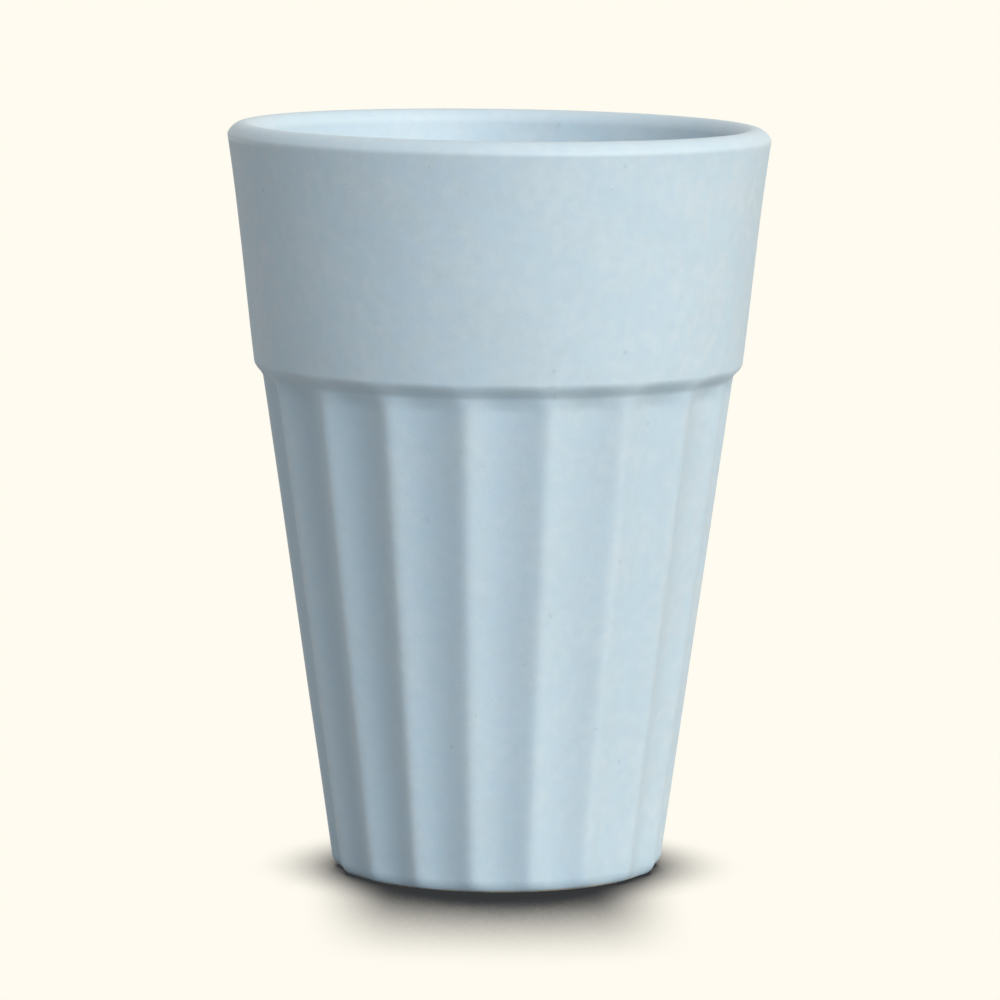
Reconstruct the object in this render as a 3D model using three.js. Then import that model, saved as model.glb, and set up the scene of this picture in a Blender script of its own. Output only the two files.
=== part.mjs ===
// A handleless chai cup: a stoneware body with a plain collar over a fluted wall, and the glaze coats fired onto it.
// Millimetres, +Z up. The origin is the centre of the foot, on the table, and a flute faces -Y.
import * as THREE from "three";

// Overall sizes
const HEIGHT = 97; // table to the crest of the lip
const RIM_DIAMETER = 70; // outside of the lip, the widest place
const FOOT_DIAMETER = 43; // over the ribs, where the wall turns into the rounded foot

// Collar: the plain band, and the soft step that joins it to the fluted wall
const COLLAR_HEIGHT = 30.5; // crest of the lip down to the lower end of the plain face
const COLLAR_FOOT_DIAMETER = 63.1; // at the lower end of the plain face
const STEP_HEIGHT = 2.3;
const STEP_DEPTH = 1.2; // how far the collar stands out over the ribs
const STEP_SKEW = 0.6; // under 1, the collar's edge is rounder than the corner under it

// Flutes: shallow round channels that narrow with the wall, leaving a rib between each pair
const FLUTE_COUNT = 18;
const FLUTE_SAG = 0.75; // below the straight line between two ribs, just under the step

// Lip and wall
const LIP_OUTER_ROUND = 2.1;
const LIP_INNER_ROUND = 1.9;
const WAIST_WALL = 2.8; // behind a flute, just under the step
const HEEL_WALL = 4.2; // at the foot, over the ribs
const FLOOR_THICKNESS = 5;
const FLOOR_FILLET = 8; // inside, between the floor and the wall

// Foot: a bare ring to stand on, round a shallow recess
const FOOT_ROUND = 2;
const FOOT_RING_WIDTH = 3;
const FOOT_RECESS = 1.6;
const FOOT_LINE = 0.3; // height of the lower edge of the outer glaze

// Glaze coats, all dipped to one thickness
const GLAZE = 0.4;
const COAT_GAP = 0.05; // left between a coat and the clay, and between two coats

// Fineness of the facets
const COLUMNS_PER_FLUTE = 4;
const WALL_ROWS = 3;
const STEP_ROWS = 5;
const ROUND_ROWS = 3;
const FILLET_ROWS = 4;

// Worked-out radii and heights of the finished, glazed surface
const rimRadius = RIM_DIAMETER / 2;
const crestRadius = rimRadius - LIP_OUTER_ROUND;
const lipLine = HEIGHT - LIP_OUTER_ROUND;
const collarFootRadius = COLLAR_FOOT_DIAMETER / 2;
const collarFoot = HEIGHT - COLLAR_HEIGHT;
const ribRadius = collarFootRadius - STEP_DEPTH;
const fluteTop = collarFoot - STEP_HEIGHT;
const footRadius = FOOT_DIAMETER / 2;
const ringOuterRadius = footRadius - FOOT_ROUND;
const ringInnerRadius = ringOuterRadius - FOOT_RING_WIDTH;
const footLineAngle = Math.asin(FOOT_LINE / FOOT_ROUND - 1);
const floorHeight = FOOT_RECESS + FLOOR_THICKNESS;

// The bare clay lies under the coats, and the recess in the foot slopes in at 45 degrees
const underGlaze = GLAZE + COAT_GAP;
const recessCeiling = FOOT_RECESS + underGlaze;
const recessRadius = ringInnerRadius - recessCeiling;

// A flute is the arc of a circle through two neighbouring ribs. Every length here is a share of the rib radius.
const fluteAngle = (2 * Math.PI) / FLUTE_COUNT;
const sagShare = FLUTE_SAG / ribRadius;
const halfChord = Math.sin(fluteAngle / 2);
const arcRadius = (halfChord ** 2 + sagShare ** 2) / (2 * sagShare);
const arcCentre = Math.cos(fluteAngle / 2) - sagShare + arcRadius;

// How far the flute lies inside the ribs, at an angle from the flute's middle.
function fluteRecess(angle) {
  const across = arcCentre * Math.sin(angle);
  return 1 - (arcCentre * Math.cos(angle) - Math.sqrt(arcRadius ** 2 - across ** 2));
}

// A point of a turned profile: its radius over the ribs, its height, and the share of the flute depth that it has.
const point = (radius, height, flute = 0) => ({ radius, height, flute });

// Points along an elliptical arc of a profile, from one angle to another, with both ends.
function arc(centreRadius, centreHeight, reach, rise, from, to, rows) {
  return Array.from({ length: rows + 1 }, (_, row) => {
    const angle = THREE.MathUtils.lerp(from, to, row / rows);
    return point(centreRadius + reach * Math.cos(angle), centreHeight + rise * Math.sin(angle));
  });
}

// Splits the facets where a profile runs down along the same diagonal as where it runs up, so that a coat's back
// follows the clay under it facet by facet.
function matchFacets(geometry, profile) {
  const index = geometry.getIndex();
  for (let first = 0; first < index.count; first += 6) {
    const row = (first / 6) % (profile.length - 1);
    if (profile[row + 1].height < profile[row].height) {
      const [lower, across, upper, opposite] = [0, 1, 2, 3].map((corner) => index.getX(first + corner));
      [lower, across, opposite, lower, opposite, upper].forEach((vertex, corner) => {
        index.setX(first + corner, vertex);
      });
    }
  }
}

// Turns a profile into a closed solid, and presses the flutes into it.
function turned(profile) {
  const outline = profile.map(({ radius, height }) => new THREE.Vector2(radius, height));
  const columns = FLUTE_COUNT * COLUMNS_PER_FLUTE;
  const geometry = new THREE.LatheGeometry(outline, columns);
  const position = geometry.getAttribute("position");
  for (let column = 0; column <= columns; column++) {
    const turns = column / COLUMNS_PER_FLUTE;
    const recess = fluteRecess((turns - Math.round(turns)) * fluteAngle);
    profile.forEach(({ flute }, row) => {
      const index = column * profile.length + row;
      const share = 1 - flute * recess;
      position.setX(index, position.getX(index) * share);
      position.setZ(index, position.getZ(index) * share);
    });
  }
  matchFacets(geometry, profile);
  geometry.rotateX(Math.PI / 2);
  geometry.computeVertexNormals();
  return geometry;
}

// The rounded foot outside, between two of its angles. The flutes fade out as it turns under.
function footProfile(inset, from, to) {
  const reach = FOOT_ROUND - inset;
  const round = arc(ringOuterRadius, FOOT_ROUND, reach, FOOT_ROUND, from, to, ROUND_ROWS);
  return round.map(({ radius, height }) => point(radius, height, (radius - ringOuterRadius) / reach));
}

// The fluted wall, the step and the lower end of the collar outside, from above the rounded foot.
function wallProfile(inset) {
  const wall = Array.from({ length: WALL_ROWS }, (_, row) => {
    const share = (row + 1) / WALL_ROWS;
    const radius = THREE.MathUtils.lerp(footRadius, ribRadius, share);
    return point(radius - inset, THREE.MathUtils.lerp(FOOT_ROUND, fluteTop, share), 1);
  });
  const step = Array.from({ length: STEP_ROWS }, (_, row) => {
    const share = (row + 1) / STEP_ROWS;
    const out = (1 - Math.cos(Math.PI * share ** STEP_SKEW)) / 2;
    return point(ribRadius + STEP_DEPTH * out - inset, fluteTop + STEP_HEIGHT * share, 1 - out);
  });
  return [...wall, ...step];
}

// The lip, from the lip line outside over the crest to the wall inside.
function lipProfile(inset) {
  const outer = LIP_OUTER_ROUND - inset;
  const inner = LIP_INNER_ROUND - inset;
  return [
    ...arc(crestRadius, lipLine, outer, outer, 0, Math.PI / 2, ROUND_ROWS),
    ...arc(crestRadius, HEIGHT - LIP_INNER_ROUND, inner, inner, Math.PI / 2, Math.PI, ROUND_ROWS).slice(1),
  ];
}

// The inside wall and floor, from under the lip down to the axis. The wall keeps its thickness behind the flutes.
function insideProfile(inset) {
  const waist = point(ribRadius * (1 - fluteRecess(0)) - WAIST_WALL + inset, fluteTop);
  const filletRadius = footRadius - HEEL_WALL - FLOOR_FILLET;
  const filletHeight = floorHeight + FLOOR_FILLET;
  const reach = FLOOR_FILLET + inset;
  const lean = Math.atan2(waist.radius - filletRadius - reach, waist.height - filletHeight);
  return [
    waist,
    ...arc(filletRadius, filletHeight, reach, reach, -lean, -Math.PI / 2, FILLET_ROWS),
    point(0, floorHeight - inset),
  ];
}

// The stoneware body, bare on the foot ring and glazed everywhere else.
function clayBody() {
  return turned([
    point(0, recessCeiling),
    point(recessRadius, recessCeiling),
    point(ringInnerRadius, 0),
    ...footProfile(underGlaze, -Math.PI / 2, footLineAngle),
    ...footProfile(underGlaze, footLineAngle, 0).slice(1),
    ...wallProfile(underGlaze),
    ...lipProfile(underGlaze),
    ...insideProfile(underGlaze),
  ]);
}

// The matt coat outside, from the foot line up to the lip line.
function outerGlaze() {
  const coat = (inset) => [
    ...footProfile(inset, footLineAngle, 0),
    ...wallProfile(inset),
    point(rimRadius - inset, lipLine - COAT_GAP),
  ];
  const face = coat(0);
  return turned([...face, ...coat(GLAZE).reverse(), face[0]]);
}

// The smooth coat inside, which rolls over the lip and ends at the lip line.
function linerGlaze() {
  const coat = (inset) => [...lipProfile(inset), ...insideProfile(inset)];
  return turned([...coat(GLAZE).reverse(), ...coat(0)]);
}

// The patch of glaze on the ceiling of the recess, inside the foot ring.
function baseGlaze() {
  return turned([
    point(0, FOOT_RECESS),
    point(recessRadius - GLAZE, FOOT_RECESS),
    point(recessRadius, FOOT_RECESS + GLAZE),
    point(0, FOOT_RECESS + GLAZE),
  ]);
}

const bareClay = new THREE.MeshStandardMaterial({ color: 0xd9d0c1, roughness: 0.9, metalness: 0 });
const mattGlaze = new THREE.MeshStandardMaterial({ color: 0xc6d6df, roughness: 0.72, metalness: 0 });
const smoothGlaze = new THREE.MeshStandardMaterial({ color: 0xcbdbe4, roughness: 0.4, metalness: 0 });

const cup = new THREE.Group();
for (const [name, geometry, material] of [
  ["clay_body", clayBody(), bareClay],
  ["outer_glaze", outerGlaze(), mattGlaze],
  ["liner_glaze", linerGlaze(), smoothGlaze],
  ["base_glaze", baseGlaze(), mattGlaze],
]) {
  const mesh = new THREE.Mesh(geometry, material);
  mesh.name = name;
  cup.add(mesh);
}

export default cup;
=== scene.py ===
"""A handleless chai cup: a fluted stoneware pot and the grey-blue glaze coats that are fired onto it.

Every piece is turned from a profile by one Geometry Nodes tree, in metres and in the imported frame: +Z up out
of the mouth, the origin at the centre of the foot, and the middle of a flute towards -Y, where the camera
stands.
"""

import logging
import math
from abc import ABC, abstractmethod
from collections.abc import Callable
from dataclasses import dataclass, replace
from enum import Enum
from typing import Any, ClassVar, Union

import bpy
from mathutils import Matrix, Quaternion, Vector

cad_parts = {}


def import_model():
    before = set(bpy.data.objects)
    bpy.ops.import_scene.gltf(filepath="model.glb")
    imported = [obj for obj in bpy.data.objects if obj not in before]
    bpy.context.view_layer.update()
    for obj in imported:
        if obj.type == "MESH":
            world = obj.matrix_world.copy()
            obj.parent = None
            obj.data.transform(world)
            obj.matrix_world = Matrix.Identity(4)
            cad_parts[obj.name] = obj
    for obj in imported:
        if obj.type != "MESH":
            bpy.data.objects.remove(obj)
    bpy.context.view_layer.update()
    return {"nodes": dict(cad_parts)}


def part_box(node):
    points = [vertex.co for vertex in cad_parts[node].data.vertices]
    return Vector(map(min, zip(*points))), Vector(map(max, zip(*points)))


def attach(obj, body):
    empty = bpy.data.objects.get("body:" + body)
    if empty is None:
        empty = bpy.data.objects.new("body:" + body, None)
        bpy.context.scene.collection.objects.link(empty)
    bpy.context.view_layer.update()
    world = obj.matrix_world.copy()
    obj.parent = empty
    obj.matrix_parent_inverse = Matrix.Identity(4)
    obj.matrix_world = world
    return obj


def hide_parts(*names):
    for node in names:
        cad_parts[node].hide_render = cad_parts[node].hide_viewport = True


LOG = logging.getLogger("chai_cup")
BODY = "root"
MM = 0.001
QUARTER = math.pi / 2

Colour = tuple[float, float, float, float]
Number = Union["Term", float, int]
Inputs = dict[Union[str, int], Any]
Names = tuple[str, ...]


def smoothstep(low: float, high: float, value: float) -> float:
    """Rise smoothly from 0 to 1 between two values.

    Args:
        low: Value where the rise starts.
        high: Value where it ends. It may be the lower of the two, and then the result falls.
        value: Value to look up.

    Returns:
        A share from 0 to 1.
    """
    share = min(1.0, max(0.0, (value - low) / (high - low)))
    return share * share * (3.0 - 2.0 * share)


def lerp(first: float, last: float, share: Number) -> Number:
    """Return the value that lies a share of the way from the first to the last."""
    return first + (last - first) * share


def steps(first: float, last: float, rows: int) -> list[float]:
    """Return evenly spaced values, from the one after the first up to the last."""
    return [lerp(first, last, row / rows) for row in range(1, rows + 1)]


class Slot(Enum):
    """Material slots of the record."""

    BARE_CLAY = "bare_clay"
    MATT_GLAZE = "matt_glaze"
    LINER_GLAZE = "liner_glaze"
    BASE_GLAZE = "base_glaze"


class Mask(Enum):
    """Point attributes that tell a finish how the coat lies, and where it carries painted shade or a painted
    highlight.
    """

    # Glaze run thin on edges, partly a painted highlight on the lip; on bare clay, how near the glaze is.
    THIN = "thin"
    # Gathered glaze; in the flutes, under the step and more on the cup's left side it is partly painted shade.
    POOL_AND_SHADE = "pool"


# Profiles


@dataclass(frozen=True)
class ProfilePoint:
    """A point of a turned profile.

    Attributes:
        radius: Distance from the axis, over the ribs.
        height: Height over the table.
        flute: Share of the flutes' depth that is pressed in here.
        thin: Share to which the glaze has run off, partly a painted highlight on the lip, or on bare clay how
            near the glaze is.
        pool: Share to which the glaze has gathered; under the step it is partly painted shade.
        run: How far along the profile (radius, height) a wandering glaze edge takes this point.
    """

    radius: float
    height: float
    flute: float = 0.0
    thin: float = 0.0
    pool: float = 0.0
    run: tuple[float, float] = (0.0, 0.0)


Profile = list[ProfilePoint]
Place = tuple[float, float]


def arc(centre: Place, reach: float, rise: float, start: float, end: float, rows: int) -> Profile:
    """Lay points along an elliptical arc of a profile, with both ends.

    Args:
        centre: Radius and height of the arc's centre.
        reach: Half-width of the ellipse.
        rise: Half-height of the ellipse.
        start: First angle, from outwards towards up.
        end: Last angle.
        rows: Number of steps.

    Returns:
        The points, one more than the steps.
    """
    angles = [start, *steps(start, end, rows)]
    return [ProfilePoint(centre[0] + reach * math.cos(a), centre[1] + rise * math.sin(a)) for a in angles]


def straight(start: Place, end: Place, rows: int) -> Profile:
    """Lay points along a straight line of a profile, after its start.

    Args:
        start: Radius and height where the line starts.
        end: Radius and height where it ends.
        rows: Number of steps.

    Returns:
        The points, as many as the steps.
    """
    places = zip(steps(start[0], end[0], rows), steps(start[1], end[1], rows))
    return [ProfilePoint(radius, height) for radius, height in places]


@dataclass(frozen=True)
class CupForm:
    """Sizes of the finished, glazed cup in metres, and the profiles that follow from them.

    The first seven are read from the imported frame.
    """

    height: float
    rim_radius: float
    lip_line: float
    foot_line: float
    floor: float
    recess: float
    patch_radius: float
    glaze: float = 0.4 * MM
    coat_gap: float = 0.05 * MM
    collar_height: float = 30.5 * MM
    collar_foot_radius: float = 31.55 * MM
    collar_hollow: float = 0.15 * MM
    step_height: float = 2.3 * MM
    step_depth: float = 1.2 * MM
    step_skew: float = 0.85
    flute_runout: float = 1.7 * MM
    head_drop: float = 2 * MM
    flutes: int = 18
    flute_sag: float = 0.75 * MM
    rib_softness: float = 1.15 * MM
    waist_wall: float = 2.8 * MM
    heel_wall: float = 4.2 * MM
    floor_fillet: float = 8 * MM
    foot_radius: float = 21.5 * MM
    foot_round: float = 2 * MM
    foot_ring_width: float = 3 * MM
    lip_inner_round: float = 1.9 * MM
    lip_edge_rise: float = 0.6 * MM
    lip_edge_angle: float = math.radians(25)
    under_edge_share: float = 0.4
    # Fade of the paler lip band: thin glaze, partly a painted highlight.
    lip_fade: float = 0.5 * MM
    # Reach and strength of the darkening under the step: gathered glaze and painted shade where the collar's
    # shadow falls.
    step_pool_and_shade_reach: float = 3 * MM
    step_pool_and_shade: float = 0.5
    foot_pool_top: float = 4 * MM
    foot_rows: int = 10
    wall_rows: int = 26
    step_rows: int = 28
    collar_rows: int = 14
    lip_rows: int = 12
    inside_rows: int = 16
    fillet_rows: int = 12
    floor_rows: int = 6

    @classmethod
    def from_frame(cls) -> "CupForm":
        """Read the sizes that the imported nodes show, and keep the rest as written here.

        Returns:
            The sizes of the cup.
        """
        outer_low, outer_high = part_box("outer_glaze")
        liner_low, liner_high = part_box("liner_glaze")
        base_low, base_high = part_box("base_glaze")
        return cls(
            height=liner_high.z,
            rim_radius=liner_high.x,
            lip_line=outer_high.z + cls.coat_gap,
            foot_line=outer_low.z,
            floor=liner_low.z + cls.glaze,
            recess=base_low.z,
            patch_radius=base_high.x,
        )

    @property
    def under_glaze(self) -> float:
        """Depth of the clay under the finished surface."""
        return self.glaze + self.coat_gap

    @property
    def lip_edge(self) -> float:
        """Height of the soft edge where the rounded lip meets the collar's face."""
        return self.lip_line + self.lip_edge_rise

    @property
    def lip_outer_width(self) -> float:
        """Width of the outer half of the lip."""
        return self.height - self.lip_line

    @property
    def crest_radius(self) -> float:
        """Radius of the crest of the lip."""
        return self.rim_radius - self.lip_outer_width

    @property
    def collar_foot(self) -> float:
        """Height of the lower end of the collar's plain face."""
        return self.height - self.collar_height

    @property
    def flute_top(self) -> float:
        """Height of the lower end of the step under the collar."""
        return self.collar_foot - self.step_height

    @property
    def runout_end(self) -> float:
        """Height where the middle of a flute reaches its full depth, under the step."""
        return self.flute_top - self.flute_runout

    @property
    def fine_rows_start(self) -> float:
        """Height where the flutes are at full depth beside the ribs too, so the rows above lie closer."""
        return self.runout_end - self.head_drop

    @property
    def rib_radius(self) -> float:
        """Radius over the ribs, just under the step."""
        return self.collar_foot_radius - self.step_depth

    @property
    def ring_outer_radius(self) -> float:
        """Outer radius of the flat foot ring."""
        return self.foot_radius - self.foot_round

    @property
    def ring_inner_radius(self) -> float:
        """Inner radius of the flat foot ring."""
        return self.ring_outer_radius - self.foot_ring_width

    @property
    def foot_line_angle(self) -> float:
        """Angle on the rounded foot where the outer glaze ends."""
        return math.asin(self.foot_line / self.foot_round - 1.0)

    @property
    def recess_ceiling(self) -> float:
        """Height of the bare clay over the recess in the foot."""
        return self.recess + self.under_glaze

    @property
    def flute_depth(self) -> float:
        """Depth of a flute's middle inside the ribs' circle, just under the step."""
        return self.rib_radius * (1.0 - math.cos(math.pi / self.flutes)) + self.flute_sag

    def foot(self, inset: float, start: float, end: float) -> Profile:
        """Shape the rounded foot outside, where the flutes fade out as it turns under.

        Args:
            inset: Depth under the finished surface.
            start: First angle on the rounding.
            end: Last angle.

        Returns:
            The points from the first angle to the last.
        """
        reach = self.foot_round - inset
        centre = (self.ring_outer_radius, self.foot_round)
        turn = arc(centre, reach, self.foot_round, start, end, self.foot_rows)
        return [replace(p, flute=(p.radius - self.ring_outer_radius) / reach) for p in turn]

    def wandering_foot(self, inset: float) -> Profile:
        """Shape the rounded foot of the outer coat, whose lower edge wanders along the rounding.

        Args:
            inset: Depth under the finished surface.

        Returns:
            The points from the coat's lower edge up to the wall.
        """
        along = (-math.sin(self.foot_line_angle), math.cos(self.foot_line_angle))
        points = []
        for p in self.foot(inset, self.foot_line_angle, 0.0):
            share = smoothstep(self.foot_round, self.foot_line, p.height)
            points.append(replace(p, run=(along[0] * share, along[1] * share)))
        return points

    def wall(self, inset: float) -> Profile:
        """Shape the fluted wall, the step and the lower end of the collar, from above the rounded foot.

        Args:
            inset: Depth under the finished surface.

        Returns:
            The points from the first above the foot up to the collar's plain face.
        """
        heights = steps(self.foot_round, self.fine_rows_start, self.wall_rows)
        heights += steps(self.fine_rows_start, self.collar_foot, self.step_rows)
        return [self.wall_point(height, inset) for height in heights]

    def wall_point(self, height: float, inset: float) -> ProfilePoint:
        """Place a point of the wall or the step, over the ribs.

        Args:
            height: Height of the point.
            inset: Depth under the finished surface.

        Returns:
            The point.
        """
        up_wall = min(1.0, (height - self.foot_round) / (self.flute_top - self.foot_round))
        up_step = max(0.0, (height - self.flute_top) / self.step_height)
        out = (1.0 - math.cos(math.pi * up_step**self.step_skew)) / 2.0
        radius = lerp(self.foot_radius, self.rib_radius, up_wall) + self.step_depth * out - inset
        return ProfilePoint(radius, height, 1.0)

    def collar_point(self, height: float, inset: float) -> ProfilePoint:
        """Place a point of the collar's plain face, which is a little hollow under the lip.

        Args:
            height: Height of the point.
            inset: Depth under the finished surface.

        Returns:
            The point.
        """
        share = (height - self.collar_foot) / (self.lip_edge - self.collar_foot)
        deepest = 4.0 / 27.0
        hollow = self.collar_hollow * share * share * (1.0 - share) / deepest
        return ProfilePoint(lerp(self.collar_foot_radius, self.rim_radius, share) - hollow - inset, height)

    def collar(self, inset: float) -> Profile:
        """Return the points of the collar's plain face, from above its lower end up to the lip line."""
        heights = steps(self.collar_foot, self.lip_line, self.collar_rows)
        return [self.collar_point(height, inset) for height in heights]

    def lip(self, inset: float) -> Profile:
        """Shape the lip, from the lip line outside over its edge and the crest to the wall inside.

        Args:
            inset: Depth under the finished surface.

        Returns:
            The points from outside to inside.
        """
        reach = self.lip_outer_width / math.cos(self.lip_edge_angle)
        rise = (self.height - self.lip_edge) / (1.0 - math.sin(self.lip_edge_angle))
        outer_centre = (self.crest_radius, self.height - rise)
        inner = self.lip_inner_round - inset
        inner_centre = (self.crest_radius, self.height - self.lip_inner_round)
        under_edge = lerp(self.lip_line, self.lip_edge, self.under_edge_share)
        return [
            self.collar_point(self.lip_line, inset),
            self.collar_point(under_edge, inset),
            *arc(outer_centre, reach - inset, rise - inset, self.lip_edge_angle, QUARTER, self.lip_rows),
            *arc(inner_centre, inner, inner, QUARTER, math.pi, self.lip_rows)[1:],
        ]

    def inside(self, inset: float) -> Profile:
        """Shape the inside wall and floor, from under the lip down to the axis.

        Args:
            inset: Depth under the finished surface.

        Returns:
            The points from the first under the lip down to the axis.
        """
        top = (self.crest_radius - self.lip_inner_round + inset, self.height - self.lip_inner_round)
        waist = (self.rib_radius - self.flute_depth - self.waist_wall + inset, self.flute_top)
        centre = (self.foot_radius - self.heel_wall - self.floor_fillet, self.floor + self.floor_fillet)
        reach = self.floor_fillet + inset
        lean = math.atan2(waist[0] - centre[0] - reach, waist[1] - centre[1])
        bend = arc(centre, reach, reach, -lean, -QUARTER, self.fillet_rows)
        return [
            *straight(top, waist, self.inside_rows),
            *straight(waist, (bend[0].radius, bend[0].height), self.inside_rows),
            *bend[1:],
            *straight((centre[0], self.floor - inset), (0.0, self.floor - inset), self.floor_rows),
        ]

    def glazed(self, point: ProfilePoint) -> ProfilePoint:
        """Work out where a coat has run thin, partly as a painted highlight on the lip, and where it has
        gathered, partly as painted shade under the step.

        Args:
            point: A point of the glazed surface.

        Returns:
            The same point with its masks.
        """
        thin = smoothstep(self.lip_edge - self.lip_fade, self.lip_edge, point.height)
        # Darker just under the step: gathered glaze and painted shade where the collar's shadow falls.
        under_step_pool_and_shade = smoothstep(self.flute_top - self.step_pool_and_shade_reach, self.flute_top, point.height)
        under_step_pool_and_shade *= self.step_pool_and_shade * smoothstep(self.collar_foot, self.flute_top, point.height)
        at_foot = smoothstep(self.foot_pool_top, self.foot_line, point.height)
        return replace(point, thin=thin, pool=max(under_step_pool_and_shade, at_foot))


# Node trees


def sign(operation: str, swapped: bool = False) -> Callable[["Term", Number], "Term"]:
    """Make the method behind one of Python's arithmetic signs.

    Args:
        operation: Blender's name for the operation of a Math node.
        swapped: Whether the term stands on the right of the sign.

    Returns:
        The method.
    """

    def lay(term: "Term", other: Number) -> "Term":
        """Lay a Math node for the two numbers and return its result."""
        return term.graph.math(operation, *((other, term) if swapped else (term, other)))

    return lay


@dataclass(frozen=True)
class Term:
    """A value inside a node tree, which takes Python's own arithmetic signs where it is a number."""

    graph: "NodeGraph"
    socket: bpy.types.NodeSocket

    __add__ = __radd__ = sign("ADD")
    __mul__ = __rmul__ = sign("MULTIPLY")
    __sub__ = sign("SUBTRACT")
    __rsub__ = sign("SUBTRACT", swapped=True)
    __truediv__ = sign("DIVIDE")
    __rtruediv__ = sign("DIVIDE", swapped=True)


class NodeGraph:
    """Lays nodes in one tree and joins them."""

    def __init__(self, tree: bpy.types.NodeTree) -> None:
        """Keep the tree that the nodes go into."""
        self.tree = tree

    def node(self, kind: str, inputs: Inputs, **settings: Any) -> bpy.types.Node:
        """Add a node.

        Args:
            kind: Blender's name for the type of node.
            inputs: A value, a term or a socket for each input, by the input's name or number.
            settings: Values for the node's own properties.

        Returns:
            The new node.
        """
        made = self.tree.nodes.new(kind)
        for name, value in settings.items():
            setattr(made, name, value)
        for key, value in inputs.items():
            self.feed(made.inputs[key], value)
        return made

    def feed(self, socket: bpy.types.NodeSocket, value: Any) -> None:
        """Link a term or a socket to an input, or set the input to a plain value.

        Args:
            socket: The input.
            value: What it takes.
        """
        source = value.socket if isinstance(value, Term) else value
        if isinstance(source, bpy.types.NodeSocket):
            self.tree.links.new(source, socket)
        else:
            socket.default_value = source

    def term(self, kind: str, inputs: Inputs, output: Union[str, int] = 0, **settings: Any) -> Term:
        """Add a node and return one of its outputs as a term."""
        return Term(self, self.node(kind, inputs, **settings).outputs[output])

    def math(self, operation: str, *values: Number) -> Term:
        """Add a Math node with the values in order and return its result."""
        return self.term("ShaderNodeMath", dict(enumerate(values)), operation=operation)

    def smooth(self, value: Number, low: Number, high: Number) -> Term:
        """Rise smoothly from 0 to 1 as a value goes from low to high."""
        inputs = {"Value": value, "From Min": low, "From Max": high}
        return self.term("ShaderNodeMapRange", inputs, "Result", interpolation_type="SMOOTHSTEP")

    def split(self, vector: Term) -> tuple[Term, ...]:
        """Return the three parts of a vector."""
        return tuple(Term(self, part) for part in self.node("ShaderNodeSeparateXYZ", {0: vector}).outputs)

    def join(self, x: Number, y: Number, z: Number) -> Term:
        """Make a vector of its three parts."""
        return self.term("ShaderNodeCombineXYZ", {"X": x, "Y": y, "Z": z})

    def noise(self, place: Term, scale: Number, detail: float, output: str = "Fac") -> Term:
        """Return a soft noise about 0.5 at a place."""
        inputs = {"Vector": place, "Scale": scale, "Detail": detail}
        return self.term("ShaderNodeTexNoise", inputs, output)

    def tint(self, share: Number, first: Any, second: Any) -> Term:
        """Mix two colours.

        Args:
            share: How much of the second colour shows.
            first: A colour or a term for one.
            second: A colour or a term for one.

        Returns:
            The mixed colour.
        """
        factor, colour_a, colour_b, result = 0, 6, 7, 2
        inputs = {factor: share, colour_a: first, colour_b: second}
        return self.term("ShaderNodeMix", inputs, result, data_type="RGBA")


class GroupGraph(NodeGraph):
    """The node graph of a new group with named inputs and outputs."""

    def __init__(self, name: str, kind: str, inputs: dict[str, str], outputs: dict[str, str]) -> None:
        """Make the group and its sockets.

        Args:
            name: Name of the group.
            kind: Blender's name for the type of tree.
            inputs: Type of each input by its name.
            outputs: Type of each output by its name.
        """
        super().__init__(bpy.data.node_groups.new(name, kind))
        self.identifiers: dict[str, str] = {}
        for direction, sockets in (("INPUT", inputs), ("OUTPUT", outputs)):
            for key, value in sockets.items():
                made = self.tree.interface.new_socket(key, in_out=direction, socket_type=f"NodeSocket{value}")
                self.identifiers[key] = made.identifier
        self.inputs = self.node("NodeGroupInput", {})

    def given(self, name: str) -> Term:
        """Return one of the group's inputs."""
        return Term(self, self.inputs.outputs[name])


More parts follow.
